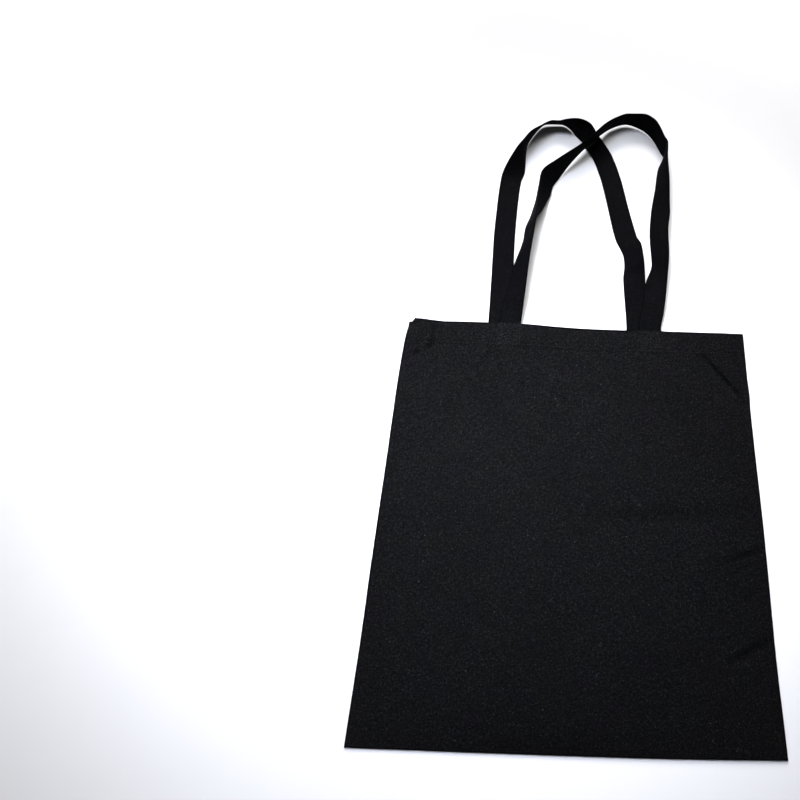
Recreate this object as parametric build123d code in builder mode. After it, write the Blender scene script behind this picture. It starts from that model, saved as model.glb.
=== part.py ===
from build123d import *
import math
import os

# A canvas tote bag with two long handles, lying flat on its back.
#
# Millimetres. X runs across the bag, Y from the bottom seam to the mouth and on to the handles, and
# +Z is up. The origin is the middle of the bag's underside, on the surface that the bag lies on.
# Each piece is written to parts/ as one STEP file named after its node.

# Driving dimensions
BAG_WIDTH = 380.0
BAG_HEIGHT = 420.0
CANVAS = 0.8  # one layer of cloth
PUFF = 6.5  # how far the slack front panel rises above its side seams
HEM_DEPTH = 28.0
HEM_THICKNESS = 1.2  # the turned-in edge, pressed flat
SEAM_ALLOWANCE = 10.0
STRAP_WIDTH = 25.0
STRAP_THICKNESS = 1.6
STITCH_LENGTH = 3.0
STITCH_PITCH = 4.0
THREAD = 0.4
THREAD_LIFT = 0.1  # the thread rests just clear of the cloth
STITCH_GAP = 0.6  # room between the seam allowance and the fold, where the seam's thread runs
HEM_STOP = 12.0  # the hems stop this far short of the thick side seams
HEM_STITCH_INSET = 2.0  # from the hem's lower edge
TACK_INSET = 4.0  # from the mouth, to the stitches that hold the handles
HANDLE_GAP = 1.5  # the free handle begins this far past the mouth's edge

# Positions that follow from them
HALF_WIDTH = BAG_WIDTH / 2
HALF_STRAP = STRAP_WIDTH / 2
MOUTH = BAG_HEIGHT / 2
BOTTOM = -BAG_HEIGHT / 2
SEAM_STACK = 2 * CANVAS  # the two seam allowances, one on the other
SIDE_HEIGHT = CANVAS + SEAM_STACK  # underside of the front panel along its sides
INSIDE_HALF_WIDTH = HALF_WIDTH - CANVAS
ALLOWANCE_OUTER = INSIDE_HALF_WIDTH - STITCH_GAP
ALLOWANCE_INNER = ALLOWANCE_OUTER - SEAM_ALLOWANCE
HEM_HALF_WIDTH = ALLOWANCE_INNER - HEM_STOP
HEM_LOWER_EDGE = MOUTH - HEM_DEPTH
HEM_STITCH_Y = HEM_LOWER_EDGE + HEM_STITCH_INSET
TACK_Y = MOUTH - TACK_INSET
BACK_END_Z = CANVAS + HEM_THICKNESS + STRAP_THICKNESS / 2

# Share of the puff that the front panel has reached at each place up the bag. It is never quite
# flat, so that every cross-section has the same edges
LEAST_SHARE = 0.01
PUFF_STEPS = [(BOTTOM, LEAST_SHARE), (BOTTOM + 10, 0.4), (BOTTOM + 30, 0.75), (BOTTOM + 60, 1.0), (MOUTH, 1.0)]

# Where the handles' ends are sewn in, across the bag
FRONT_ENDS = (-76.0, 82.0)
BACK_ENDS = (-88.0, 69.0)

# The front panel is a shallow circular arch across the bag
ARCH_RADIUS = (INSIDE_HALF_WIDTH**2 + PUFF**2) / (2 * PUFF)


def underside(x):
    """Height of the front panel's underside near the mouth."""
    return SIDE_HEIGHT + PUFF - ARCH_RADIUS + math.sqrt(ARCH_RADIUS**2 - x**2)


def strap_planes(route):
    """A plane across the strap at each station of a route: its X is the strap's width.

    A station is (across, past the mouth, height, turn). Turn is 0 where the strap lies flat, and 90
    where it stands on edge with the loop's outer edge up. The ends leave the mouth squarely.
    """
    points = [Vector(x, MOUTH + y, z) for x, y, z, turn in route]
    planes = []
    for i, point in enumerate(points):
        if i == 0:
            along = Vector(0, 1, 0)
        elif i == len(points) - 1:
            along = Vector(0, -1, 0)
        else:
            along = (points[i + 1] - points[i - 1]).normalized()
        outward = Vector(-along.Y, along.X, 0).normalized()
        upward = along.cross(outward)
        turn = math.radians(route[i][3])
        across = outward * math.cos(turn) + upward * math.sin(turn)
        planes.append(Plane(origin=point, x_dir=across, z_dir=along))
    return planes


def row(start, end):
    """Middles of the stitches in one straight row between two coordinates."""
    count = int((end - start - STITCH_LENGTH) // STITCH_PITCH) + 1
    first = (start + end) / 2 - (count - 1) * STITCH_PITCH / 2
    return [first + i * STITCH_PITCH for i in range(count)]


def save(part, node):
    """Names a piece and writes its STEP file."""
    part.label = node
    export_step(part, f"parts/{node}.step")


os.makedirs("parts", exist_ok=True)

# Body panels -------------------------------------------------------------------------------------

with BuildPart() as back_panel:
    with BuildSketch():
        Rectangle(BAG_WIDTH, BAG_HEIGHT)
    extrude(amount=CANVAS)
save(back_panel.part, "back_panel")


# A slack cover whose sides and bottom come down to the back panel, open at the mouth: an outer
# body less an inner one, each of cross-sections with straight sides and base under a shallow arch.
# The inner body runs on past the mouth
PAST_MOUTH = 1.0
INNER_STEPS = [(max(y, BOTTOM + CANVAS), share) for y, share in PUFF_STEPS] + [(MOUTH + PAST_MOUTH, 1.0)]
OUTER = (HALF_WIDTH, CANVAS, SIDE_HEIGHT + CANVAS, PUFF_STEPS, Mode.ADD)
INNER = (INSIDE_HALF_WIDTH, 0.0, SIDE_HEIGHT, INNER_STEPS, Mode.SUBTRACT)
with BuildPart() as front_panel:
    for half_width, base, side, steps, mode in (OUTER, INNER):
        for y, share in steps:
            with BuildSketch(Plane.XZ.offset(-y)):
                with BuildLine():
                    Polyline((-half_width, side), (-half_width, base), (half_width, base), (half_width, side))
                    ThreePointArc((half_width, side), (0, side + PUFF * share), (-half_width, side))
                make_face()
        loft(ruled=True, mode=mode)
save(front_panel.part, "front_panel")

# Turned-in hems ----------------------------------------------------------------------------------

# Strips that follow the front panel's underside: the hem, and under it the two handle ends. Each
# has its middle, half its width, how far its top lies below that underside, and its thickness
ARCHED_STRIPS = {"front_hem": (0.0, HEM_HALF_WIDTH, 0.0, HEM_THICKNESS)}
for name, middle in zip(("left", "right"), FRONT_ENDS):
    ARCHED_STRIPS[f"front_handle_end_{name}"] = (middle, HALF_STRAP, HEM_THICKNESS, STRAP_THICKNESS)
for node, (middle, half_width, drop, thickness) in ARCHED_STRIPS.items():
    upper = [(x, underside(x) - drop) for x in (middle - half_width, middle, middle + half_width)]
    lower = [(x, z - thickness) for x, z in upper]
    with BuildPart() as strip:
        with BuildSketch(Plane.XZ.offset(-MOUTH)):
            with BuildLine():
                ThreePointArc(*upper)
                Line(upper[2], lower[2])
                ThreePointArc(*lower)
                Line(lower[0], upper[0])
            make_face()
        extrude(amount=HEM_DEPTH)
    save(strip.part, node)

with BuildPart() as back_hem:
    with BuildSketch(Plane.XY.offset(CANVAS)):
        with Locations((0, MOUTH - HEM_DEPTH / 2)):
            Rectangle(2 * HEM_HALF_WIDTH, HEM_DEPTH)
    extrude(amount=HEM_THICKNESS)
save(back_hem.part, "back_hem")

# Seam allowances, folded inside along the two sides and the bottom --------------------------------

SEAM_START = BOTTOM + CANVAS + STITCH_GAP
SIDE_X = (ALLOWANCE_INNER + ALLOWANCE_OUTER) / 2
SIDE_Y = (SEAM_START + MOUTH) / 2
BOTTOM_WIDTH = 2 * (ALLOWANCE_INNER - STITCH_GAP)
# Each strip has its middle, its width and its length
SEAM_STRIPS = {
    "left_seam_allowance": ((-SIDE_X, SIDE_Y), SEAM_ALLOWANCE, MOUTH - SEAM_START),
    "right_seam_allowance": ((SIDE_X, SIDE_Y), SEAM_ALLOWANCE, MOUTH - SEAM_START),
    "bottom_seam_allowance": ((0, SEAM_START + SEAM_ALLOWANCE / 2), BOTTOM_WIDTH, SEAM_ALLOWANCE),
}
for node, (middle, width, length) in SEAM_STRIPS.items():
    with BuildPart() as allowance:
        with BuildSketch(Plane.XY.offset(CANVAS)):
            with Locations(middle):
                Rectangle(width, length)
        extrude(amount=SEAM_STACK)
    save(allowance.part, node)

# Back handle ends, sewn inside the back hem ------------------------------------------------------

for name, middle in zip(("left", "right"), BACK_ENDS):
    with BuildPart() as back_end:
        with BuildSketch(Plane.XY.offset(CANVAS + HEM_THICKNESS)):
            with Locations((middle, MOUTH - HEM_DEPTH / 2)):
                Rectangle(STRAP_WIDTH, HEM_DEPTH)
        extrude(amount=STRAP_THICKNESS)
    save(back_end.part, f"back_handle_end_{name}")

# Handles: each a flat strap that stands on edge round the top of its loop ------------------------

FRONT_END_Z = underside(FRONT_ENDS[0]) - HEM_THICKNESS - STRAP_THICKNESS / 2

# Stations of each handle, from its left end to its right
FRONT_ROUTE = [
    (FRONT_ENDS[0], HANDLE_GAP, FRONT_END_Z, 0),
    (-75, 15, 6.5, -8),
    (-71, 42, 10.5, -30),
    (-67, 81, 11, -42),
    (-61, 121, 13, -57),
    (-54, 155, 12, -45),
    (-46, 182, 9, -10),
    (-39, 204, 11, 35),
    (-30, 223, 14, 68),
    (-14, 242, 16, 88),
    (5, 264, 18, 106),
    (22, 285, 17, 110),
    (43, 307, 14, 113),
    (60, 315, 14, 110),
    (80, 310, 14, 95),
    (92, 299, 14, 86),
    (105, 271, 14, 90),
    (107, 260, 14, 88),
    (104, 241, 14, 74),
    (102, 206, 13, 58),
    (99, 165, 10, 36),
    (96, 131, 10, 42),
    (96, 92, 11.5, 50),
    (91, 62, 8.5, 24),
    (86, 25, 7, 5),
    (FRONT_ENDS[1], HANDLE_GAP, FRONT_END_Z, 0),
]

BACK_ROUTE = [
    (BACK_ENDS[0], HANDLE_GAP, BACK_END_Z, 0),
    (-88, 25, 1.8, 0),
    (-90, 80, 1.4, 0),
    (-91, 134, 1.4, 0),
    (-90, 192, 1.6, 0),
    (-88, 215, 3.5, 12),
    (-82, 236, 11, 50),
    (-75, 255, 14, 85),
    (-69, 270, 14, 103),
    (-60, 287, 12.5, 120),
    (-42, 304, 11, 132),
    (-29, 304, 11, 130),
    (-18, 300, 13, 115),
    (-8, 296, 13.5, 85),
    (2, 292, 8, 30),
    (11, 285, 2, 4),
    (19, 274, 1.6, 0),
    (28, 257, 1.4, 0),
    (40, 218, 1.4, 0),
    (48, 179, 1.4, 0),
    (57, 136, 3, 12),
    (64, 108, 8, 36),
    (66, 88, 8, 36),
    (65, 72, 3.5, 12),
    (66, 50, 1.6, 0),
    (BACK_ENDS[1], HANDLE_GAP, BACK_END_Z, 0),
]

for node, route in (("front_handle", FRONT_ROUTE), ("back_handle", BACK_ROUTE)):
    with BuildPart() as handle:
        for station in strap_planes(route):
            with BuildSketch(station):
                Rectangle(STRAP_WIDTH, STRAP_THICKNESS)
        loft(ruled=True)
    save(handle.part, node)

# Stitching: each stitch is one short length of thread ---------------------------------------------


def on_front(x, y):
    """Place of a stitch on the front panel near the mouth, tilted with the cloth."""
    height = underside(x) + CANVAS + THREAD / 2 + THREAD_LIFT
    return Location((x, y, height), (0, math.degrees(math.asin(x / ARCH_RADIUS)), 0))


def on_back(x, y):
    """Place of a stitch on the back hem, or on a handle's end where one covers the hem."""
    covered = any(abs(x - middle) < HALF_STRAP + STITCH_LENGTH / 2 for middle in BACK_ENDS)
    top = CANVAS + HEM_THICKNESS + (STRAP_THICKNESS if covered else 0)
    return Location((x, y, top + THREAD / 2 + THREAD_LIFT))


STITCH_ROWS = {
    "front_hem_stitches": (on_front, HEM_STITCH_Y, row(-HALF_WIDTH, HALF_WIDTH)),
    "back_hem_stitches": (on_back, HEM_STITCH_Y, row(-HEM_HALF_WIDTH, HEM_HALF_WIDTH)),
}
for face, middles, place_on in (("front", FRONT_ENDS, on_front), ("back", BACK_ENDS, on_back)):
    for name, middle in zip(("left", "right"), middles):
        STITCH_ROWS[f"{face}_tack_{name}"] = (place_on, TACK_Y, row(middle - HALF_STRAP, middle + HALF_STRAP))
for node, (place_on, y, middles) in STITCH_ROWS.items():
    with BuildPart() as stitches:
        with Locations(*[place_on(x, y) for x in middles]):
            Box(STITCH_LENGTH, THREAD, THREAD)
    save(stitches.part, node)

SEAM_X = ALLOWANCE_OUTER + STITCH_GAP / 2
SEAM_Y = BOTTOM + CANVAS + STITCH_GAP / 2
SEAM_Z = CANVAS + SEAM_STACK / 2
for name, side in (("left", -1), ("right", 1)):
    with BuildPart() as seam_stitches:
        with Locations(*[(side * SEAM_X, y, SEAM_Z) for y in row(SEAM_START, MOUTH)]):
            Box(THREAD, STITCH_LENGTH, THREAD)
    save(seam_stitches.part, f"{name}_seam_stitches")

with BuildPart() as bottom_stitches:
    with Locations(*[(x, SEAM_Y, SEAM_Z) for x in row(-ALLOWANCE_INNER, ALLOWANCE_INNER)]):
        Box(STITCH_LENGTH, THREAD, THREAD)
save(bottom_stitches.part, "bottom_seam_stitches")
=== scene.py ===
import math

import bpy
import numpy as np
from mathutils import Matrix, Vector


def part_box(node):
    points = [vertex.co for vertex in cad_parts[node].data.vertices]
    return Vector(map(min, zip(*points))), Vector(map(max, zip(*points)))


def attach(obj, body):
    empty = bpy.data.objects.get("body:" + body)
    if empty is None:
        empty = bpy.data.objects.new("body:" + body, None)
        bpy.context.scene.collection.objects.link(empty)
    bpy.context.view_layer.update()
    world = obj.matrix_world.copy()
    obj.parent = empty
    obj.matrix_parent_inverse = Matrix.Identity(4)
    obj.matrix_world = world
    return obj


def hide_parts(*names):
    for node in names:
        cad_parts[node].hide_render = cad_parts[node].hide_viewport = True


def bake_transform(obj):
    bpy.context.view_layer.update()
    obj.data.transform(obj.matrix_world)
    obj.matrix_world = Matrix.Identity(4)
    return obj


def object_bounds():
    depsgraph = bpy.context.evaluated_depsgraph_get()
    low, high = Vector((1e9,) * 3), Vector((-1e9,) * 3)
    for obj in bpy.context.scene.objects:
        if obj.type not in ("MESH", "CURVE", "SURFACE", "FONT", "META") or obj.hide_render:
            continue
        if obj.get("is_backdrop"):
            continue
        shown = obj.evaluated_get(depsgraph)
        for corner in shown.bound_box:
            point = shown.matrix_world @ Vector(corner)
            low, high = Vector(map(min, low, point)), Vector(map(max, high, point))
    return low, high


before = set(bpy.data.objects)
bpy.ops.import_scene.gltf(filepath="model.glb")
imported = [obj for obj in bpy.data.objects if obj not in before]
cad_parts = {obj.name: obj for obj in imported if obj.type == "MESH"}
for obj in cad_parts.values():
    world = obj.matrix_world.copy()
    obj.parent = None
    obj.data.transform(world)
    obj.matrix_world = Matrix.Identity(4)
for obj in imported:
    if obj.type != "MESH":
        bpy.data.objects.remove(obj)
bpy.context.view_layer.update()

# A canvas tote bag lying on its back. Lengths are millimetres, turned into metres as each mesh is
# made. X runs across the bag, Y from the bottom seam to the mouth and the handles, and Z is up.
MM = 0.001


def node_box(node):
    """Lowest and highest corner of a CAD node, in millimetres."""
    low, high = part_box(node)
    return np.array(low) / MM, np.array(high) / MM


def end_middles(face):
    """Where the middles of a handle's two sewn ends lie across the bag."""
    boxes = [node_box(f"{face}_handle_end_{side}") for side in ("left", "right")]
    return [(low[0] + high[0]) / 2 for low, high in boxes]


# Sizes read from the frame
back_low, back_high = node_box("back_panel")
front_high = node_box("front_panel")[1]
hem_low, hem_high = node_box("front_hem")
allowance_low, allowance_high = node_box("left_seam_allowance")
end_low, end_high = node_box("back_handle_end_left")
HALF_WIDTH = back_high[0]
BOTTOM, MOUTH = back_low[1], back_high[1]
CANVAS = back_high[2] - back_low[2]
SEAM_TOP = allowance_high[2]
SIDE_TOP = SEAM_TOP + CANVAS
PUFF = front_high[2] - SIDE_TOP
INSIDE_HALF = HALF_WIDTH - CANVAS
HEM_EDGE = hem_low[1]
HEM_HALF = hem_high[0]
HEM_THICKNESS = node_box("back_hem")[1][2] - CANVAS
STRAP_WIDTH = end_high[0] - end_low[0]
STRAP_THICKNESS = end_high[2] - end_low[2]
END_HALF = STRAP_WIDTH / 2
FRONT_ENDS = end_middles("front")
BACK_ENDS = end_middles("back")

# Camera ------------------------------------------------------------------------------------------

# It looks down steeply, and its picture is shifted so that the bag lies right of the middle
CAMERA_PLACE = (-19.3, -106.3, 511.6)
CAMERA_ELEVATION = math.radians(69.95)
CAMERA_YAW = math.radians(-1.91)
CAMERA_ROLL = math.radians(3.88)

camera_data = bpy.data.cameras.new("camera")
camera_data.lens = 23.29
camera_data.sensor_width = 36.0
camera_data.shift_x = -0.2025
camera_data.shift_y = 0.045
camera_data.clip_start = 0.01
camera = bpy.data.objects.new("camera", camera_data)
camera.matrix_world = (
    Matrix.Translation([v * MM for v in CAMERA_PLACE])
    @ Matrix.Rotation(CAMERA_YAW, 4, "Z")
    @ Matrix.Rotation(math.pi / 2 - CAMERA_ELEVATION, 4, "X")
    @ Matrix.Rotation(CAMERA_ROLL, 4, "Z")
)
bpy.context.scene.collection.objects.link(camera)
bpy.context.scene.camera = camera

# Curves and fields ---------------------------------------------------------------------------------


def follow(knots, values, at):
    """A smooth curve through values at knots that never overshoots them, read at the places in at."""
    knots = np.asarray(knots, float)
    values = np.asarray(values, float)
    gaps = np.diff(knots)
    slopes = np.diff(values) / gaps
    tangents = np.zeros(len(knots))
    tangents[0], tangents[-1] = slopes[0], slopes[-1]
    before, after = slopes[:-1], slopes[1:]
    weight_before = 2 * gaps[1:] + gaps[:-1]
    weight_after = gaps[1:] + 2 * gaps[:-1]
    same_way = before * after > 0
    total = weight_before[same_way] / before[same_way] + weight_after[same_way] / after[same_way]
    tangents[1:-1][same_way] = (weight_before + weight_after)[same_way] / total
    i = np.clip(np.searchsorted(knots, at, side="right") - 1, 0, len(gaps) - 1)
    t = np.clip((at - knots[i]) / gaps[i], 0, 1)
    rise = (1 + 2 * t) * (1 - t) ** 2 * values[i] + t**2 * (3 - 2 * t) * values[i + 1]
    return rise + gaps[i] * (t * (1 - t) ** 2 * tangents[i] - t**2 * (1 - t) * tangents[i + 1])


def edge_curve(points, at):
    """Offset of one edge of the bag, from a few (place along it, offset) points."""
    knots, offsets = zip(*points)
    return follow(knots, offsets, at)


def ramp(x, low, high):
    """0 below low, 1 above high, and a smooth rise between."""
    t = np.clip((x - low) / (high - low), 0, 1)
    return t * t * (3 - 2 * t)


def ripples(x, y, seed, count, shortest, longest):
    """Gentle random waves in a surface, between about -1 and 1."""
    draw = np.random.RandomState(seed)
    total = np.zeros(np.shape(x))
    for _ in range(count):
        length = math.exp(draw.uniform(math.log(shortest), math.log(longest)))
        heading = draw.uniform(0, math.pi)
        phase = draw.uniform(0, 2 * math.pi)
        total += np.sin(2 * math.pi * (x * math.cos(heading) + y * math.sin(heading)) / length + phase)
    return total / math.sqrt(count)


def along_line(x, y, start, end):
    """How far each point is along a line, as a share of it, and how far to its left."""
    run = np.subtract(end, start)
    length = math.hypot(*run)
    run = run / length
    share = ((x - start[0]) * run[0] + (y - start[1]) * run[1]) / length
    left = (y - start[1]) * run[0] - (x - start[0]) * run[1]
    return share, left


def tapered(share):
    """1 at the middle of a crease, falling to 0 at its two ends."""
    return np.clip(4 * share * (1 - share), 0, 1) ** 0.5


def fold(x, y, start, end, size, left_reach, right_reach):
    """A ridge of that size along a line, easing away over a reach in mm on its left and on its right."""
    share, left = along_line(x, y, start, end)
    reach = np.where(left > 0, left_reach, right_reach)
    return size * tapered(share) * np.exp(-((left / reach) ** 2))


def drop(x, y, start, end, height, width, reach):
    """A step down to the right of a line, over its width, that eases back on both sides over its reach."""
    share, left = along_line(x, y, start, end)
    return height * tapered(share) * (ramp(left, -width, 0) - 0.5) * np.exp(-((left / reach) ** 2))


# The bag's body --------------------------------------------------------------------------------------

# How far each edge lies outside the straight one, as (place along the edge, offset). The cloth's
# outline isn't quite straight, and the back panel's top left corner stands above the front's.
FRONT_EDGES = {
    "left": [(-210, 0.0), (-133, -0.3), (-60, 0.0), (60, 0.8), (135, 1.4), (175, 1.1), (210, 0.4)],
    "right": [
        (-210, 0.7), (-175, 0.1), (-135, -0.7), (-22, 0.0),
        (112, -1.0), (140, -0.7), (170, -1.0), (210, -0.5),
    ],
    "bottom": [(-190, 0.2), (-100, 0.9), (-40, 1.3), (70, 1.6), (130, 1.1), (190, 0.3)],
    "mouth": [
        (-190, 0.6), (-120, 0.2), (-60, -0.4), (-25, -1.8), (9, -2.6),
        (54, -3.2), (99, -2.2), (140, -1.2), (190, 0.8),
    ],
}
BACK_EDGES = {
    "left": [
        (-210, 0.4), (-133, 0.2), (-60, 1.2), (60, 2.0), (135, 2.8),
        (175, 2.2), (196, 0.6), (204, -3.0), (210, -6.0),
    ],
    "right": [(-210, 0.2), (-135, -0.9), (-22, -0.2), (112, -1.2), (210, -0.7)],
    "bottom": [(-190, 0.0), (-40, 1.0), (70, 1.4), (190, 0.1)],
    "mouth": [
        (-190, 6.4), (-183, 6.2), (-170, 4.8), (-155, 3.2), (-130, 1.8),
        (-60, 0.6), (0, -0.9), (54, -1.4), (120, 0.2), (190, 1.0),
    ],
}
BOTTOM_SHARE = 0.625  # share of the bag's height over which the bottom edge's offset fades away
MOUTH_SHARE = 5 / 12  # and the mouth's

STITCH_Y = HEM_EDGE + 2.0  # the hem's stitch line
TACK_Y = MOUTH - 3.0  # the rows that hold the handles' ends
SLACK_START = 22.0  # how fast the slack builds up from the bottom seam
MOUTH_SLACK = 2.6  # the front lies lower at the mouth between the handles
MOUTH_SLACK_FALL = 110.0  # and this falls away over that length below the hem
BETWEEN_HANDLES = 12.0  # middle of that stretch, across the bag
SLACK_HALF = 62.0  # its reach either way
HEM_STEP = 0.35  # the cloth stands up over the hem
HEM_SIDE_EASE = 8.0  # and comes down over this width beside it
HEM_EASE = (60.0, 10.0)  # it dips between these distances below the hem
END_STEP = 0.5  # it stands up again over each handle's end
END_EASE = 40.0  # and dips from this far below the hem
STITCH_DENT = 0.22  # the stitch line pulls the cloth in, in uneven puckers
STITCH_DENT_HALF = 1.3
PUCKER_LENGTHS = (7.3, 19.0)
SEAM_MARGIN = 30.0  # waves in the cloth die away this far in from the seams
BROAD_WAVES = (0.42, 3, 14, 70, 190)  # height, seed, count, shortest and longest
FINE_WAVES = (0.06, 4, 18, 14, 34)


def outline(x, y, edges):
    """Moves points of a panel from the straight outline to the real one."""
    left = edge_curve(edges["left"], y) * np.clip(-x / HALF_WIDTH, 0, 1) ** 4
    right = edge_curve(edges["right"], y) * np.clip(x / HALF_WIDTH, 0, 1) ** 4
    up = (y - BOTTOM) / (MOUTH - BOTTOM)
    bottom = edge_curve(edges["bottom"], x) * np.clip(1 - up / BOTTOM_SHARE, 0, 1) ** 3
    mouth = edge_curve(edges["mouth"], x) * np.clip(1 - (1 - up) / MOUTH_SHARE, 0, 1) ** 2
    return x - left + right, y - bottom + mouth


def over_ends(x, y, beside, below, above):
    """1 over the front handle's sewn ends, fading to 0 a little way beside them and at the hem's edge."""
    share = 0.0
    for middle in FRONT_ENDS:
        share = share + 1 - ramp(np.abs(x - middle), END_HALF - 0.5, END_HALF + beside)
    return share * ramp(y, HEM_EDGE - below, HEM_EDGE + above)


def front_height(x, y):
    """Height of the front panel's outer face: slack over the inside, flat at its seams."""
    share = 1 - np.exp(-(y - BOTTOM) / SLACK_START)
    arch = np.clip(1 - (x / INSIDE_HALF) ** 2, 0, 1)
    between = np.exp(-(((x - BETWEEN_HANDLES) / SLACK_HALF) ** 2))
    slack = MOUTH_SLACK * ramp(y, HEM_EDGE - MOUTH_SLACK_FALL, MOUTH) * between
    height = SIDE_TOP + share * (PUFF * arch - slack)

    over_hem = ramp(y, HEM_EDGE - 1.5, HEM_EDGE + 1.0)
    over_hem = over_hem * (1 - ramp(np.abs(x), HEM_HALF, HEM_HALF + HEM_SIDE_EASE))
    near_hem = ramp(y, HEM_EDGE - HEM_EASE[0], HEM_EDGE - HEM_EASE[1])
    height = height - HEM_STEP * (1 - over_hem) * near_hem
    off_ends = 1 - over_ends(x, y, beside=2.0, below=2.0, above=0.5)
    height = height - END_STEP * off_ends * ramp(y, HEM_EDGE - END_EASE, HEM_EDGE)

    short, long = (np.sin(2 * math.pi * x / length) for length in PUCKER_LENGTHS)
    pucker = 0.6 + 0.4 * short * long
    height = height - STITCH_DENT * pucker * np.exp(-(((y - STITCH_Y) / STITCH_DENT_HALF) ** 2))

    inside = np.clip((HALF_WIDTH - np.abs(x)) / SEAM_MARGIN, 0, 1)
    inside = inside * np.clip((y - BOTTOM) / SEAM_MARGIN, 0, 1)
    for wave, *draws in (BROAD_WAVES, FINE_WAVES):
        height = height + inside * wave * ripples(x, y, *draws)
    return height + creases(x, y)


# Creases pressed into the front panel: where each starts and ends, how deep it is, how far it
# reaches to its left and to its right, and how strongly painted shade darkens its bottom
CREASES = [
    ((-159, 209), (-163, 176), 1.4, 2.0, 2.6, 0.9),
    ((-190, 162), (-154, 186), 1.6, 3.0, 3.5, 0.9),
    ((-187, 178), (-168, 186), 0.9, 2.5, 2.5, 0.6),
    ((-113, 146), (-89, 184), 1.0, 3.0, 4.0, 0.45),
    ((-133, 120), (-137, 98), 0.8, 3.0, 4.0, 0.4),
    ((10, -10), (186, 4), 1.5, 9.0, 13.0, 0.25),
    ((60, 0), (130, -9), 0.4, 5.0, 7.0, 0.1),
    ((148, -46), (192, -31), 1.4, 4.0, 3.5, 0.6),
    ((150, -62), (180, -42), 0.9, 4.0, 3.5, 0.3),
    ((143, -136), (192, -112), 1.5, 4.5, 4.5, 0.6),
    ((-18, 124), (-8, 115), 0.5, 1.6, 2.0, 0.9),
    ((137, 185.5), (187, 121.5), 0.0, 2.4, 2.4, 1.0),  # no crease, only painted shade on the face of the drop below, where it turns from the light
]
# The sharpest is a drop that faces the bag's lower left corner, with a smaller branch: where each
# starts and ends, its height, its width and its reach
DROPS = [
    ((140, 188), (189, 125), 4.2, 6.0, 11.0),
    ((152, 139), (190, 121), 1.0, 3.0, 6.0),
]
STITCH_PAINTED_SHADE = 0.35  # how much painted shade darkens the dip along the stitch line
STITCH_PAINTED_SHADE_HALF = 1.4  # over this far either way
MOUTH_PAINTED_SHADE = 0.9  # and painted shadow along the mouth's edge between the handles, where it sags
MOUTH_PAINTED_SHADE_HALF = 1.5  # over this far in from it
MOUTH_PAINTED_SHADE_REACH = 55.0  # and this far either way along it


def creases(x, y):
    """Height that the creases add to the front panel."""
    total = sum(drop(x, y, *shape) for shape in DROPS)
    for start, end, depth, left_reach, right_reach, _ in CREASES:
        total = total - fold(x, y, start, end, depth, left_reach, right_reach)
    return total


def painted_shade(x, y):
    """How much painted shade darkens the creases, the dip along the stitch line and the sagging mouth
    between the handles.
    """
    total = 0.0
    for start, end, _, left_reach, right_reach, tone in CREASES:
        total = total + fold(x, y, start, end, tone, left_reach, right_reach)
    total = total + STITCH_PAINTED_SHADE * np.exp(-(((y - STITCH_Y) / STITCH_PAINTED_SHADE_HALF) ** 2))
    between = ((x - BETWEEN_HANDLES) / MOUTH_PAINTED_SHADE_REACH) ** 2
    at_mouth = np.exp(-(((MOUTH - y) / MOUTH_PAINTED_SHADE_HALF) ** 2) - between)
    return np.clip(total + MOUTH_PAINTED_SHADE * at_mouth, 0, 1)


def unmarked(x, y):
    """A panel without creases."""
    return 0 * x


# Layers of cloth -------------------------------------------------------------------------------------


def make_mesh(name, points, faces, cloth=None):
    """A smooth-shaded mesh object from points in mm.

    cloth is each point's place in the flat cloth, in mm, and its tone: 1 where the cloth is worn, 0
    where it is plain and -1 where painted shade makes it darkest.
    """
    mesh = bpy.data.meshes.new(name)
    mesh.from_pydata((np.asarray(points, float) * MM).tolist(), [], faces)
    mesh.validate()
    mesh.polygons.foreach_set("use_smooth", [True] * len(mesh.polygons))
    if cloth is not None:
        attribute = mesh.attributes.new("cloth", "FLOAT_VECTOR", "POINT")
        attribute.data.foreach_set("vector", np.asarray(cloth, np.float32).ravel())
    piece = bpy.data.objects.new(name, mesh)
    bpy.context.scene.collection.objects.link(piece)
    return piece


def unit(vectors):
    """Each vector at a length of 1."""
    return vectors / np.maximum(np.linalg.norm(vectors, axis=-1, keepdims=True), 1e-9)


RIM_STEPS = 4  # faces round the cut edge of a layer of cloth
NEAR_RIM_PAINTED_SHADE = 0.9  # painted shade: how much is taken from the cloth's tone along that edge, to darken it
RIM_PAINTED_SHADE = -1.0  # the tone round it, the deepest painted shade


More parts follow.
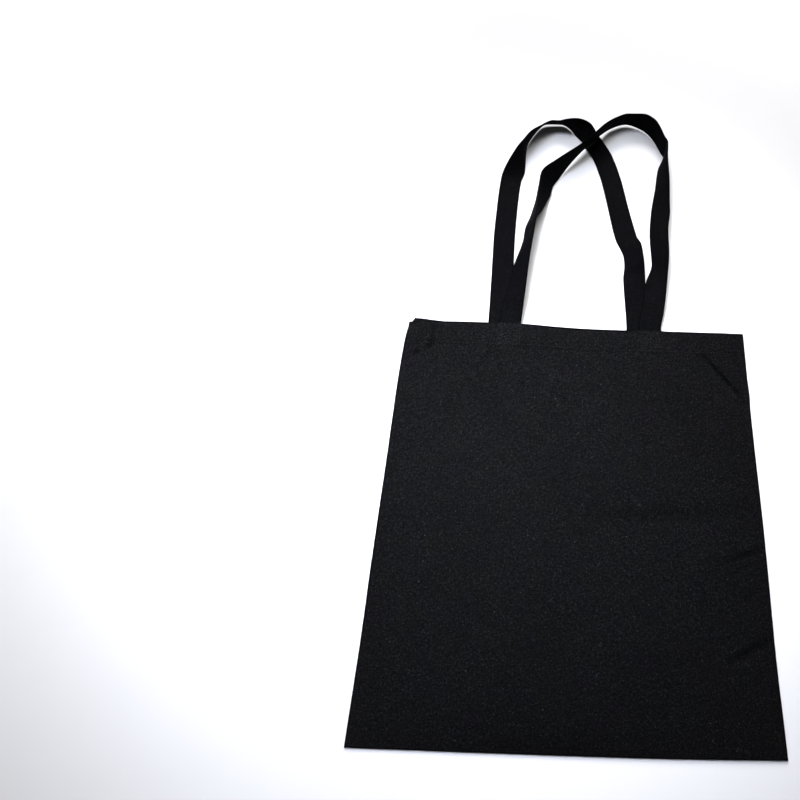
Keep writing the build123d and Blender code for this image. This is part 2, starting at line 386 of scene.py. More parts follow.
def cloth_layer(name, grid, cloth, thickness, above=0.5):
    """A closed layer of cloth about a grid of points, with rounded edges.

    above is the share of the thickness on the side that the grid's normals point to.
    """
    rows, columns = grid.shape[:2]
    down_rows = np.gradient(grid, axis=0)
    along_columns = np.gradient(grid, axis=1)
    normal = unit(np.cross(along_columns, down_rows))
    middle = grid + normal * thickness * (above - 0.5)
    outer = middle + normal * thickness / 2
    inner = middle - normal * thickness / 2
    outward = np.zeros_like(grid)
    outward[0] -= unit(down_rows[0])
    outward[-1] += unit(down_rows[-1])
    outward[:, 0] -= unit(along_columns[:, 0])
    outward[:, -1] += unit(along_columns[:, -1])
    outward = unit(outward)

    number = np.arange(rows * columns).reshape(rows, columns)
    rim = np.concatenate([number[0, :-1], number[:-1, -1], number[-1, :0:-1], number[:0:-1, 0]])
    flat_middle, flat_normal, flat_outward = (a.reshape(-1, 3) for a in (middle, normal, outward))
    # Painted shade: every cut edge is darkened, standing in for the shadow line along and under it
    face_places = cloth.reshape(-1, 3).copy()
    face_places[rim, 2] -= NEAR_RIM_PAINTED_SHADE
    rim_places = face_places[rim]
    rim_places[:, 2] = RIM_PAINTED_SHADE
    points = [outer.reshape(-1, 3), inner.reshape(-1, 3)]
    places = [face_places, face_places]
    rings = [rim]
    count = 2 * rows * columns
    for i in range(1, RIM_STEPS):
        angle = math.pi * i / RIM_STEPS
        bulge = flat_normal[rim] * math.cos(angle) + flat_outward[rim] * math.sin(angle)
        points.append(flat_middle[rim] + bulge * thickness / 2)
        places.append(rim_places)
        rings.append(np.arange(count, count + len(rim)))
        count += len(rim)
    rings.append(rim + rows * columns)

    corners = np.stack([number[:-1, :-1], number[:-1, 1:], number[1:, 1:], number[1:, :-1]], -1)
    top = corners.reshape(-1, 4)
    faces = [top, top[:, ::-1] + rows * columns]
    for upper, lower in zip(rings, rings[1:]):
        faces.append(np.stack([upper, lower, np.roll(lower, -1), np.roll(upper, -1)], -1))
    points, faces, places = (np.concatenate(parts) for parts in (points, faces, places))
    return make_mesh(name, points, faces.tolist(), places)


def panel_axis(low, high, spacing, round_low, round_high, edge):
    """Places across a panel, and how far round its edge each one is, as an angle from 0 to 90 degrees."""
    inner_low = low + (edge if round_low else 0)
    inner_high = high - (edge if round_high else 0)
    count = int((inner_high - inner_low) / spacing) + 1
    places = np.linspace(inner_low, inner_high, count)
    angles = np.zeros(count)
    turns = np.radians([22.5, 45, 67.5, 90])
    if round_low:
        places = np.concatenate([inner_low - edge * np.sin(turns[::-1]), places])
        angles = np.concatenate([turns[::-1], angles])
    if round_high:
        places = np.concatenate([places, inner_high + edge * np.sin(turns)])
        angles = np.concatenate([angles, turns])
    return places, angles


SEAM_EDGE = 2.4  # how far in from the edge the cloth turns down to the seam
SEAM_Z = 1.6  # height of the seam between the panels
GRID = 1.5  # spacing of the points in flat cloth
PAINTED_SHADE_STRENGTH = 0.6  # how strongly the painted shade of the creases, the stitch line and the mouth darkens the cloth


def panel(name, edges, height, edge_drop, above, painted_shade_of):
    """One of the two panels: a grid over its outline, turned down or up to the seam at three edges."""
    across, across_turn = panel_axis(-HALF_WIDTH, HALF_WIDTH, GRID, True, True, SEAM_EDGE)
    up, up_turn = panel_axis(BOTTOM, MOUTH, GRID, True, False, SEAM_EDGE)
    x, y = np.meshgrid(across, up)
    turned_down = edge_drop * (1 - np.cos(across_turn)[None, :] * np.cos(up_turn)[:, None])
    z = height(x, y) - turned_down
    worn = over_ends(x, y, beside=1.5, below=1.5, above=1.0)
    # The tone is wear over the handles' ends, less painted shade at the creases, stitch line and mouth
    cloth = np.stack([x, y, worn - PAINTED_SHADE_STRENGTH * painted_shade_of(x, y)], -1)
    x, y = outline(x, y, edges)
    return cloth_layer(name, np.stack([x, y, z], -1), cloth, CANVAS, above)


def back_height(x, y):
    """Height of the back panel's middle, flat on what it lies on."""
    return CANVAS / 2 + 0 * x


front_cloth = panel("front_cloth", FRONT_EDGES, front_height, SIDE_TOP - SEAM_Z - CANVAS / 2, 0.0, painted_shade)
back_cloth = panel("back_cloth", BACK_EDGES, back_height, -(SEAM_Z - CANVAS), 0.5, unmarked)

# Hems and seam allowances ----------------------------------------------------------------------------

LAYER_GAP = 0.04  # room between two layers that lie on each other
RIM = 0.5  # strips stop this far short of the edge that they lie along
FEWEST_FACES = 6  # across a strip
HEM_WAVE = 0.1  # height of the waves in the back hem
ALLOWANCE_WAVE = 0.08  # and in the seam allowances
ALLOWANCE_THICKNESS = SEAM_TOP - CANVAS - 0.3  # which leaves room for those


def strip(name, x_range, y_range, height, thickness, edges=None, above=0.5):
    """A flat strip of cloth over a rectangle, at a height given by a function of x and y."""
    across = np.linspace(*x_range, max(int((x_range[1] - x_range[0]) / GRID), FEWEST_FACES) + 1)
    up = np.linspace(*y_range, max(int((y_range[1] - y_range[0]) / GRID), FEWEST_FACES) + 1)
    x, y = np.meshgrid(across, up)
    z = height(x, y)
    cloth = np.stack([x, y, 0 * x], -1)
    if edges:
        x, y = outline(x, y, edges)
    return cloth_layer(name, np.stack([x, y, z], -1), cloth, thickness, above)


def front_hem_height(x, y):
    """Height of the front hem's outer face, just inside the front panel."""
    return front_height(x, y) - CANVAS - LAYER_GAP


def back_hem_height(x, y):
    """Height of the back hem's middle, on the back panel."""
    return CANVAS + LAYER_GAP + HEM_THICKNESS / 2 + HEM_WAVE * ripples(x, y, 6, 8, 30, 90)


def allowance_height(x, y):
    """Height of the middle of the seam allowances, between the panels."""
    return (CANVAS + SEAM_TOP) / 2 + ALLOWANCE_WAVE * ripples(x, y, 8, 8, 20, 60)


HEM_X = (-HEM_HALF, HEM_HALF)
HEM_Y = (HEM_EDGE, MOUTH - RIM)
BACK_HEM_THICKNESS = HEM_THICKNESS - 2 * LAYER_GAP - HEM_WAVE
front_hem_cloth = strip(
    "front_hem_cloth", HEM_X, HEM_Y, front_hem_height, HEM_THICKNESS, FRONT_EDGES, above=0.0
)
back_hem_cloth = strip("back_hem_cloth", HEM_X, HEM_Y, back_hem_height, BACK_HEM_THICKNESS, BACK_EDGES)

allowances = []
for name, left_gap, right_gap in (("left", 3 * RIM, RIM), ("right", RIM, 3 * RIM)):
    low, high = node_box(f"{name}_seam_allowance")
    x_range = (low[0] + left_gap, high[0] - right_gap)
    y_range = (low[1] + RIM, MOUTH - 2 * RIM)
    allowances.append(
        strip(f"{name}_allowance_cloth", x_range, y_range, allowance_height, ALLOWANCE_THICKNESS)
    )
low, high = node_box("bottom_seam_allowance")
x_range = (low[0] + RIM, high[0] - RIM)
y_range = (low[1] + 3 * RIM, high[1] - RIM)
allowances.append(
    strip("bottom_allowance_cloth", x_range, y_range, allowance_height, ALLOWANCE_THICKNESS)
)

# Handles ---------------------------------------------------------------------------------------------

END_INSIDE = -27.0  # the handles' ends reach this far below the mouth
SEWN = 1.5  # and leave the mouth squarely until this far past it

# A strap's stations, in order along it: (across, past the mouth, height, turn), where turn is 0 if
# the strap lies flat and 90 if it stands on edge with the loop's outer edge up. Where it is creased
# along its length: (across, past the mouth, height of the ridge, the ridge's share of the width
# from the inner edge, turn of the inner part, turn of the outer part)
FRONT_ROUTE = [
    (-76, END_INSIDE, 5.7, 0),
    (-76, SEWN, 5.7, 0),
    (-75, 15, 6.5, -8),
    (-71, 42, 10.5, -30),
    (-67, 81, 11, -42),
    (-60.5, 121, 12.5, -57),
    (-53.5, 134, 22.5, 0.02, 5, -58),
    (-52.5, 157, 17, 0.25, 22, -64),
    (-51.5, 180, 13, 0.5, 34, -70),
    (-50.5, 195, 15.5, 0.75, 44, -72),
    (-48.5, 210, 21, 0.98, 54, -60),
    (-30, 222, 14, 76),
    (-14, 241, 15.5, 98),
    (5, 262.5, 17, 112),
    (22, 284, 17, 110),
    (43, 307, 14, 113),
    (60, 314, 14, 113),
    (80, 310, 14, 96),
    (93, 299, 14, 86),
    (105, 271, 14, 90),
    (108.5, 262, 14, 90),
    (107, 254, 14, 84),
    (104, 241, 14, 74),
    (102, 206, 13, 58),
    (99, 165, 9.5, 36),
    (96, 131, 10, 42),
    (96, 92, 12, 50),
    (91, 62, 8.5, 24),
    (86, 25, 7, 5),
    (82, SEWN, 5.7, 0),
    (82, END_INSIDE, 5.7, 0),
]
BACK_ROUTE = [
    (-88, END_INSIDE, 2.8, 0),
    (-88, SEWN, 2.8, 0),
    (-88.5, 25, 1.8, 0),
    (-89.5, 70, 1.4, 0),
    (-91, 134, 1.4, 0),
    (-90, 190, 1.6, 0),
    (-88, 215, 3, 10),
    (-80, 234, 10, 48),
    (-74, 252, 14, 82),
    (-69, 270, 14, 103),
    (-60, 287, 12.5, 120),
    (-42, 306, 11, 135),
    (-29, 306.5, 11, 133),
    (-17, 301.5, 13, 115),
    (-8, 296, 14, 90),
    (6, 292, 9, 38),
    (13, 285.5, 2.4, 8),
    (21, 274, 1.6, 0),
    (29, 257, 1.4, 0),
    (40, 218, 1.4, 0),
    (47.5, 179, 1.4, 0),
    (57, 131, 2.4, 8),
    (64.2, 104, 8, 38),
    (65.5, 90, 8, 36),
    (66, 72, 3.5, 12),
    (67, 50, 1.6, 0),
    (69, SEWN, 2.8, 0),
    (69, END_INSIDE, 2.8, 0),
]
STRAP_VISIBLE = STRAP_WIDTH - 0.8  # the woven strap, a little narrower than the room that it has
STRAP_STEP = 1.2  # spacing of a strap's points along it
STRAP_COLUMNS = 24  # faces across it
STRAP_SHIFT = 1000  # each strap's cloth starts that many mm further along the weave's pattern


def strap_rails(route):
    """Inner edge, ridge, outer edge and centre of a strap at each of its stations, and the ridge's share."""
    stations = [s if len(s) == 6 else (*s[:3], 0.5, s[3], s[3]) for s in route]
    stations = np.array(stations, float)
    ridge = stations[:, :3] + [0, MOUTH, 0]
    share = stations[:, 3:4]
    inner_turn, outer_turn = np.radians(stations[:, 4:5]), np.radians(stations[:, 5:6])
    upward = np.array([0.0, 0.0, 1.0])
    # The strap's width lies square to its centre line, which depends on it, so both are found in rounds
    centre = ridge
    for _ in range(4):
        along = np.gradient(centre, axis=0)
        outward = unit(np.stack([-along[:, 1], along[:, 0], 0 * along[:, 0]], -1))
        inner_way = np.cos(inner_turn) * outward + np.sin(inner_turn) * upward
        outer_way = np.cos(outer_turn) * outward + np.sin(outer_turn) * upward
        inner = ridge - share * STRAP_VISIBLE * inner_way
        outer = ridge + (1 - share) * STRAP_VISIBLE * outer_way
        centre = (inner + outer) / 2
    return inner, ridge, outer, centre, share[:, 0]


def strap(name, route, number):
    """A strap along its stations."""
    *rails, centre, share = strap_rails(route)
    lengths = np.concatenate([[0], np.cumsum(np.linalg.norm(np.diff(centre, axis=0), axis=1))])
    at = np.linspace(0, lengths[-1], int(lengths[-1] / STRAP_STEP))
    inner, ridge, outer = (
        np.stack([follow(lengths, rail[:, axis], at) for axis in range(3)], -1)[:, None, :]
        for rail in rails
    )
    share = follow(lengths, share, at)[:, None, None]
    across = np.linspace(0, 1, STRAP_COLUMNS + 1)[None, :, None]
    first = inner + (ridge - inner) * across / share
    second = ridge + (outer - ridge) * (across - share) / (1 - share)
    grid = np.where(across < share, first, second)
    u = np.broadcast_to((across[..., 0] - 0.5) * STRAP_VISIBLE, grid.shape[:2])
    v = np.broadcast_to(at[:, None], grid.shape[:2]) + STRAP_SHIFT * number
    cloth = np.stack([u, v, 0 * u], -1)
    return cloth_layer(name, grid[:, ::-1], cloth[:, ::-1], STRAP_THICKNESS)


front_strap = strap("front_strap", FRONT_ROUTE, 1)
back_strap = strap("back_strap", BACK_ROUTE, 2)

# Stitching -------------------------------------------------------------------------------------------

THREAD = 0.42  # the thread's diameter
STITCH_LENGTH = 2.1
STITCH_PITCH = 3.2
STITCH_RISE = 0.16  # how high a stitch bows above what it lies on
STITCH_SINK = 0.06  # and how far its ends go in
STITCH_TAPER = 0.92  # how far towards a point its ends narrow, where 1 is all the way
THREAD_SIDES = 6  # faces round a stitch
THREAD_RINGS = 5  # rings of points along it
HEM_ROW_INSET = 3.0  # the front hem's row stops this far short of the sides
SEAM_ROW_INSET = 1.0  # and the side seams' rows short of the mouth


def stitch_row(name, start, end, height, edges=None):
    """A straight row of stitches from start to end, each a short bowed length of thread."""
    run = np.subtract(end, start)
    row_length = math.hypot(*run)
    run = run / row_length
    side = np.array([-run[1], run[0]])
    count = int((row_length - STITCH_LENGTH) // STITCH_PITCH) + 1
    first = (row_length - (count - 1) * STITCH_PITCH) / 2
    along = np.linspace(-1, 1, THREAD_RINGS)
    girth = THREAD / 2 * np.sqrt(1 - (STITCH_TAPER * along) ** 2)
    turn = np.linspace(0, 2 * math.pi, THREAD_SIDES, endpoint=False)
    points, faces = [], []
    for i in range(count):
        base = len(points)
        for share, radius in zip(along, girth):
            reach = first + i * STITCH_PITCH + share * STITCH_LENGTH / 2
            bow = STITCH_RISE * (1 - share**2) - STITCH_SINK
            for angle in turn:
                x, y = np.array(start) + run * reach + side * radius * math.cos(angle)
                points.append((x, y, bow + radius * math.sin(angle)))
        for ring in range(THREAD_RINGS - 1):
            for k in range(THREAD_SIDES):
                a = base + ring * THREAD_SIDES + k
                b = base + ring * THREAD_SIDES + (k + 1) % THREAD_SIDES
                faces.append((a, b, b + THREAD_SIDES, a + THREAD_SIDES))
        faces.append([base + k for k in reversed(range(THREAD_SIDES))])
        last = base + (THREAD_RINGS - 1) * THREAD_SIDES
        faces.append([last + k for k in range(THREAD_SIDES)])
    points = np.array(points)
    points[:, 2] += height(points[:, 0], points[:, 1])
    cloth = points.copy()
    if edges:
        points[:, 0], points[:, 1] = outline(points[:, 0], points[:, 1], edges)
    return make_mesh(name, points, faces, cloth)


def back_hem_top(x, y):
    """Height of what the back hem's stitches lie on: the hem, or a handle's end where one covers it."""
    covered = sum(np.abs(x - middle) < END_HALF for middle in BACK_ENDS)
    return CANVAS + HEM_THICKNESS + STRAP_THICKNESS * covered


def seam_thread_height(x, y):
    """Height of the seams' thread, between the panels."""
    return SEAM_Z + 0 * x


FRONT_ROW = HALF_WIDTH - HEM_ROW_INSET
rows = [
    ("front_hem_thread", (-FRONT_ROW, STITCH_Y), (FRONT_ROW, STITCH_Y), front_height, FRONT_EDGES),
    ("back_hem_thread", (-HEM_HALF, STITCH_Y), (HEM_HALF, STITCH_Y), back_hem_top, BACK_EDGES),
]
for face, middles, height, edges in (
    ("front", FRONT_ENDS, front_height, FRONT_EDGES),
    ("back", BACK_ENDS, back_hem_top, BACK_EDGES),
):
    for side, middle in zip(("left", "right"), middles):
        start, end = (middle - END_HALF, TACK_Y), (middle + END_HALF, TACK_Y)
        rows.append((f"{face}_tack_thread_{side}", start, end, height, edges))
for side in ("left", "right"):
    low, high = node_box(f"{side}_seam_stitches")
    x = (low[0] + high[0]) / 2
    rows.append((f"{side}_seam_thread", (x, low[1]), (x, MOUTH - SEAM_ROW_INSET), seam_thread_height))
low, high = node_box("bottom_seam_stitches")
y = (low[1] + high[1]) / 2
rows.append(("bottom_seam_thread", (low[0], y), (high[0], y), seam_thread_height))
threads = {row[0]: stitch_row(*row) for row in rows}

# Materials -------------------------------------------------------------------------------------------


class Nodes:
    """Short calls for building one material's nodes."""

    def __init__(self, name):
        self.material = bpy.data.materials.new(name)
        self.material.use_nodes = True
        self.tree = self.material.node_tree
        self.tree.nodes.clear()

    def add(self, kind, inputs=(), **settings):
        """A node of that kind, with its settings and inputs. An input is a value or another socket."""
        node = self.tree.nodes.new(kind)
        for key, value in settings.items():
            setattr(node, key, value)
        for key, value in dict(inputs).items():
            if isinstance(value, bpy.types.NodeSocket):
                self.tree.links.new(value, node.inputs[key])
            else:
                node.inputs[key].default_value = value
        return node

    def math(self, operation, a, b=0.0):
        """One step of arithmetic."""
        return self.add("ShaderNodeMath", {0: a, 1: b}, operation=operation).outputs[0]

    def product(self, first, *others):
        """All the inputs multiplied together."""
        for other in others:
            first = self.math("MULTIPLY", first, other)
        return first

    def total(self, first, *others):
        """All the inputs added together."""
        for other in others:
            first = self.math("ADD", first, other)
        return first

    def noise(self, vector, scale, detail=2.0, roughness=0.5):
        """Soft random values about 0.5."""
        inputs = {"Vector": vector, "Scale": scale, "Detail": detail, "Roughness": roughness}
        return self.add("ShaderNodeTexNoise", inputs).outputs["Fac"]

    def stretch(self, vector, scale, turn=0.0):
        """Places scaled, then turned about Z."""
        inputs = {"Vector": vector, "Scale": scale, "Rotation": (0.0, 0.0, turn)}
        return self.add("ShaderNodeMapping", inputs).outputs["Vector"]

    def between(self, value, low, high, to_low=0.0, to_high=1.0):
        """A value from one range carried to another, and held at its ends."""
        inputs = {"Value": value, "From Min": low, "From Max": high, "To Min": to_low, "To Max": to_high}
        return self.add("ShaderNodeMapRange", inputs).outputs["Result"]

    def blend(self, share, a, b):
        """Colour a where the share is 0, and b where it is 1."""
        return self.add("ShaderNodeMix", {0: share, 6: a, 7: b}, data_type="RGBA").outputs[2]

    def moved(self, operation, vector, by):
        """One step of arithmetic on places."""
        return self.add("ShaderNodeVectorMath", {0: vector, 1: by}, operation=operation).outputs[0]

    def random_cells(self, place, across, along):
        """A random grid of cells: the distance from each one's middle, and its three random numbers."""
        scaled = self.stretch(place, (1 / across, 1 / along, 0.0))
        cells = self.add("ShaderNodeTexVoronoi", {"Vector": scaled, "Scale": 1.0}, voronoi_dimensions="2D")
        chances = self.add("ShaderNodeSeparateColor", {0: cells.outputs["Color"]}).outputs
        return cells.outputs["Distance"], chances


YARN_PITCH = 0.9  # spacing of the weave's yarns
WARP_STRETCH, WEFT_STRETCH = (1.1, 0.3, 0.0), (0.3, 1.1, 0.0)  # of the yarns' uneven thickness
FUZZ_NOISE = (0.55, 3.0, 0.78)  # scale, detail and roughness of each soft pattern
MOTTLE_NOISE = (0.035, 3.0, 0.6)
PATCH_NOISE = (0.012, 2.0)
DUST_NOISE = (0.9, 2.0, 0.6)
WEAVE_PAINTED_LIGHT = (0.75, 1.1)  # painted shade between the yarns and painted highlight on top of them
PATCH_SHADE = (0.94, 1.06)  # brightness of the dim and the bright patches
FLECK_SPACING = 0.85  # size of the cells that are each a little brighter or darker
LOW_FLECK, HIGH_FLECK = 0.55, 1.15  # strength of the flecks at the bag's bottom and at its mouth
DARKEST_GRAIN = 0.2  # the uneven yarns are never dimmer than this
WORN_SHADE, DEEPEST_PAINTED_SHADE = 1.1, 0.25  # brightness where the tone is 1, from wear, and where it is -1, the deepest painted shade
BUMP_HEIGHTS = (0.10, 0.16, 0.10)  # of the weave, the slubs and the fuzz
SMALL_SPECKS, LARGE_SPECKS = (3.4, 0.42, 0.30), (24.0, 0.36, 0.22)  # spacing, size and share
FIBRES = ((0.5, 9.0, 0.002), (-0.9, 11.0, 0.002))  # turn, spacing and share
SMALL_STRENGTH, LARGE_STRENGTH, FIBRE_STRENGTH, DUST_STRENGTH = 0.05, 0.22, 0.04, 0.16
CLEAN_DUST = 0.12  # share of the dust that lies where the cloth isn't worn
DUST = (0.10, 0.10, 0.12, 1.0)
LINT = (0.42, 0.43, 0.46, 1.0)
CANVAS_COOL = (0.0039, 0.0037, 0.0045, 1.0)
CANVAS_WARM = (0.0040, 0.0040, 0.0040, 1.0)
STRAP_COOL = (0.0019, 0.0020, 0.0025, 1.0)
STRAP_WARM = (0.0020, 0.0019, 0.0023, 1.0)
# The thread's own colour, and painted sheen for the twist's ridges
THREAD_DARK = (0.0090, 0.0090, 0.0100, 1.0)
THREAD_PAINTED_SHEEN = (0.0220, 0.0220, 0.0250, 1.0)


def weave_height(nodes, u, v):
    """Plain weave: threads that pass over and under each other in a checkerboard."""
    a = nodes.math("SINE", nodes.product(u, math.pi / YARN_PITCH))
    b = nodes.math("SINE", nodes.product(v, math.pi / YARN_PITCH))
    over = nodes.math("GREATER_THAN", nodes.product(a, b), 0.0)
    under = nodes.math("SUBTRACT", 1.0, over)
    a = nodes.math("ABSOLUTE", a)
    b = nodes.math("ABSOLUTE", b)
    warp = nodes.product(a, nodes.math("POWER", b, 0.3), over)
    weft = nodes.product(b, nodes.math("POWER", a, 0.3), under)
    return nodes.total(warp, weft)


def specks(nodes, place, spacing, size, share):
    """Small round specks on a share of the cells of a random grid: up to 1 in a speck, 0 elsewhere."""
    distance, chances = nodes.random_cells(place, spacing, spacing)
    near = nodes.between(distance, size / spacing, 0.5 * size / spacing)
    keep = nodes.math("LESS_THAN", chances[0], share)
    return nodes.product(near, keep, nodes.between(chances[1], 0.0, 1.0, 0.3, 1.0))


def flecks(nodes, place):
    """A random brightness for each small cell of the cloth, mostly -1 and now and then up to 3."""
    _, chances = nodes.random_cells(place, FLECK_SPACING, FLECK_SPACING)
    return nodes.math("SUBTRACT", nodes.product(nodes.math("POWER", chances[2], 3.0), 4.0), 1.0)


def fibres(nodes, place, turn, spacing, share):
    """Short stray fibres, all lying much one way, on a share of a random grid."""
    bent = nodes.add("ShaderNodeTexNoise", {"Vector": place, "Scale": 0.6, "Detail": 1.0})
    wander = nodes.moved("MULTIPLY", bent.outputs["Color"], (1.6, 1.6, 0.0))
    turned = nodes.stretch(nodes.moved("ADD", place, wander), (1.0, 1.0, 1.0), turn)
    distance, chances = nodes.random_cells(turned, spacing, spacing / 12)
    return nodes.product(nodes.between(distance, 0.26, 0.16), nodes.math("LESS_THAN", chances[0], share))


def cloth_threads(nodes, u, v, flat):
    """Heights of the weave, of the yarn's uneven thickness and of the fuzz over them."""
    weave = weave_height(nodes, u, v)
    warp_slub = nodes.noise(nodes.stretch(flat, WARP_STRETCH), 1.0)
    weft_slub = nodes.noise(nodes.stretch(flat, WEFT_STRETCH), 1.0)
    return weave, nodes.total(warp_slub, weft_slub), nodes.noise(flat, *FUZZ_NOISE)


def cloth_shade(nodes, v, tone, flat, heights, grain, fleck):
    """How bright the cloth is, where 1 is its plain colour, with painted shade where the tone is below 0."""
    weave, slub, fuzz = heights
    uneven = nodes.total(nodes.product(slub, 0.5), fuzz)
    shade = nodes.math("MAXIMUM", nodes.between(uneven, 0.7, 1.3, 1 - grain, 1 + grain), DARKEST_GRAIN)
    strength = nodes.between(v, BOTTOM, MOUTH, LOW_FLECK * fleck, HIGH_FLECK * fleck)
    patches = nodes.noise(flat, *PATCH_NOISE)
    return nodes.product(
        shade,
        nodes.total(nodes.product(flecks(nodes, flat), strength), 1.0),
        # painted shade between the yarns and painted highlight on their tops
        nodes.between(weave, 0.0, 1.0, *WEAVE_PAINTED_LIGHT),
        nodes.between(patches, 0.3, 0.7, *PATCH_SHADE),
        nodes.between(tone, 0.0, 1.0, 1.0, WORN_SHADE),
        # painted shade at the cut edges, the creases, the stitch line and the mouth
        nodes.between(tone, -1.0, 0.0, DEEPEST_PAINTED_SHADE, 1.0),
    )


def linty(nodes, tone, flat, cloth, lint):
    """The cloth's colour with dust, white specks and stray fibres on it."""
    dust = nodes.between(nodes.noise(flat, *DUST_NOISE), 0.60, 0.74)
    dust = nodes.product(dust, nodes.between(tone, 0.0, 1.0, CLEAN_DUST, 1.0), DUST_STRENGTH)
    small = nodes.product(specks(nodes, flat, *SMALL_SPECKS), SMALL_STRENGTH)
    large = nodes.product(specks(nodes, flat, *LARGE_SPECKS), LARGE_STRENGTH)
    stray = nodes.total(*(fibres(nodes, flat, *kind) for kind in FIBRES))
    white = nodes.total(small, large, nodes.product(stray, FIBRE_STRENGTH))
    white = nodes.product(nodes.math("MINIMUM", white, 1.0), lint)
    return nodes.blend(white, nodes.blend(dust, cloth, DUST), LINT)


def cloth_material(name, cool, warm, lint, grain, fleck):
    """Black cotton: a fine weave with uneven threads, faint mottling and lint, with painted shade and
    highlight.
    """
    nodes = Nodes(name)
    place = nodes.add("ShaderNodeAttribute", attribute_name="cloth").outputs["Vector"]
    u, v, tone = nodes.add("ShaderNodeSeparateXYZ", {0: place}).outputs
    flat = nodes.add("ShaderNodeCombineXYZ", {0: u, 1: v}).outputs[0]

    heights = cloth_threads(nodes, u, v, flat)
    mottle = nodes.noise(flat, *MOTTLE_NOISE)
    colour = nodes.blend(nodes.between(mottle, 0.35, 0.65), cool, warm)
    shade = cloth_shade(nodes, v, tone, flat, heights, grain, fleck)
    shaded = nodes.add("ShaderNodeVectorMath", {0: colour, "Scale": shade}, operation="SCALE").outputs[0]
    covered = linty(nodes, tone, flat, shaded, lint)

    relief = nodes.total(*(nodes.product(height, share) for height, share in zip(heights, BUMP_HEIGHTS)))
    bump = nodes.add("ShaderNodeBump", {"Strength": 0.55, "Distance": MM, "Height": relief}).outputs[0]
    inputs = {"Base Color": covered, "Roughness": 0.7, "Specular IOR Level": 0.008, "Normal": bump}
    shader = nodes.add("ShaderNodeBsdfPrincipled", inputs)
    nodes.add("ShaderNodeOutputMaterial", {"Surface": shader.outputs[0]})
    return nodes.material


def thread_material():
    """Black polyester sewing thread with a slight twist and sheen, and painted sheen on the twist's ridges.
    """
    nodes = Nodes("sewing_thread")
    place = nodes.add("ShaderNodeAttribute", attribute_name="cloth").outputs["Vector"]
    turned = nodes.stretch(place, (1.0, 1.6, 0.0), 0.7)
    twist = nodes.add("ShaderNodeTexWave", {"Vector": turned, "Scale": 1.4}).outputs["Fac"]
    # painted sheen: the twist's ridges lighter
    colour = nodes.blend(twist, THREAD_DARK, THREAD_PAINTED_SHEEN)
    bump = nodes.add("ShaderNodeBump", {"Strength": 0.5, "Distance": 0.1 * MM, "Height": twist}).outputs[0]
    inputs = {"Base Color": colour, "Roughness": 0.6, "Specular IOR Level": 0.02, "Normal": bump}
    shader = nodes.add("ShaderNodeBsdfPrincipled", inputs)
    nodes.add("ShaderNodeOutputMaterial", {"Surface": shader.outputs[0]})
    return nodes.material


canvas = cloth_material("canvas_cotton", CANVAS_COOL, CANVAS_WARM, lint=1.0, grain=0.8, fleck=0.42)
webbing = cloth_material("strap_cotton", STRAP_COOL, STRAP_WARM, lint=0.6, grain=0.8, fleck=0.25)
sewing = thread_material()

# What each piece stands for, and what it moves with ----------------------------------------------------

cloths = {
    front_cloth: "front_panel",
    back_cloth: "back_panel",
    front_hem_cloth: "front_hem",
    back_hem_cloth: "back_hem",
}
for piece, name in zip(allowances, ("left", "right", "bottom")):
    cloths[piece] = f"{name}_seam_allowance"
for piece, node in cloths.items():
    piece.data.materials.append(canvas)
    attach(piece, "bag")
    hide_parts(node)

for name, piece in threads.items():
    piece.data.materials.append(sewing)
    node = name.replace("_tack_thread_", "_tack_").replace("_thread", "_stitches")
    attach(piece, "bag")
    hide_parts(node)

for piece, side in ((front_strap, "front"), (back_strap, "back")):
    piece.data.materials.append(webbing)
    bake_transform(piece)
    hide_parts(f"{side}_handle", f"{side}_handle_end_left", f"{side}_handle_end_right")

# Floor and light -------------------------------------------------------------------------------------

FLOOR_HALF = 6000.0
FLOOR_Z = -0.05
FLOOR_DARK = (0.70, 0.70, 0.70, 1.0)
FLOOR_LIGHT = (0.72, 0.72, 0.72, 1.0)
SKY = (0.95, 0.97, 1.0, 1.0)
SKY_STRENGTH = 0.1


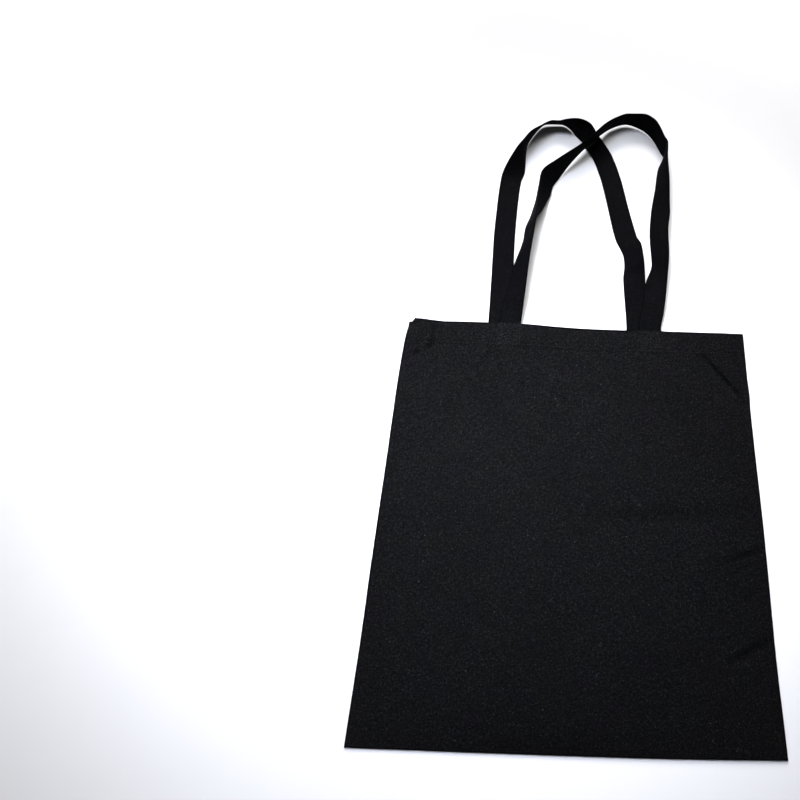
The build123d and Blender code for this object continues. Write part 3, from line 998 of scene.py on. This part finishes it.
def floor_material():
    """A matt pale surface with the faintest grain."""
    nodes = Nodes("pale_floor")
    place = nodes.add("ShaderNodeTexCoord").outputs["Object"]
    colour = nodes.blend(nodes.noise(place, 30.0, 2.0), FLOOR_DARK, FLOOR_LIGHT)
    inputs = {"Base Color": colour, "Roughness": 0.9, "Specular IOR Level": 0.1}
    shader = nodes.add("ShaderNodeBsdfPrincipled", inputs)
    nodes.add("ShaderNodeOutputMaterial", {"Surface": shader.outputs[0]})
    return nodes.material


corners = [(-1, -1), (1, -1), (1, 1), (-1, 1)]
floor = make_mesh("floor", [(x * FLOOR_HALF, y * FLOOR_HALF, FLOOR_Z) for x, y in corners], [(0, 1, 2, 3)])
floor.data.materials.append(floor_material())
floor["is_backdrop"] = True


def area_light(name, place, target, size, power, colour, spread):
    """A soft square light at a place in mm, aimed at another, that opens by that many degrees."""
    data = bpy.data.lights.new(name, "AREA")
    data.spread = math.radians(spread)
    data.shape = "SQUARE"
    data.size = size * MM
    data.energy = power
    data.color = colour
    light = bpy.data.objects.new(name, data)
    place, target = Vector(place) * MM, Vector(target) * MM
    turn = (target - place).to_track_quat("-Z", "Y")
    light.matrix_world = Matrix.Translation(place) @ turn.to_matrix().to_4x4()
    bpy.context.scene.collection.objects.link(light)


# Each light's name, place, target, size, power, colour and spread
area_light("key", (-300, 300, 900), (-100, 105, 0), 350, 2.75, (0.82, 0.86, 1.0), 60)
area_light("side", (150, 450, 700), (-20, 100, 0), 350, 0.7, (1.0, 0.99, 0.98), 70)
area_light("backdrop", (-850, 430, 900), (-850, 430, 0), 500, 3.2, (1.0, 1.0, 1.0), 90)
area_light("far_backdrop", (560, 950, 900), (560, 950, 0), 500, 2.0, (1.0, 1.0, 1.0), 90)
area_light("back", (-250, 2100, 1450), (0, 150, 0), 1000, 65.0, (1.0, 0.985, 1.0), 180)
world = bpy.data.worlds.new("studio")
world.use_nodes = True
background = world.node_tree.nodes["Background"]
background.inputs["Color"].default_value = SKY
background.inputs["Strength"].default_value = SKY_STRENGTH
bpy.context.scene.world = world
bpy.context.scene.view_settings.view_transform = "Standard"

low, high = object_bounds()
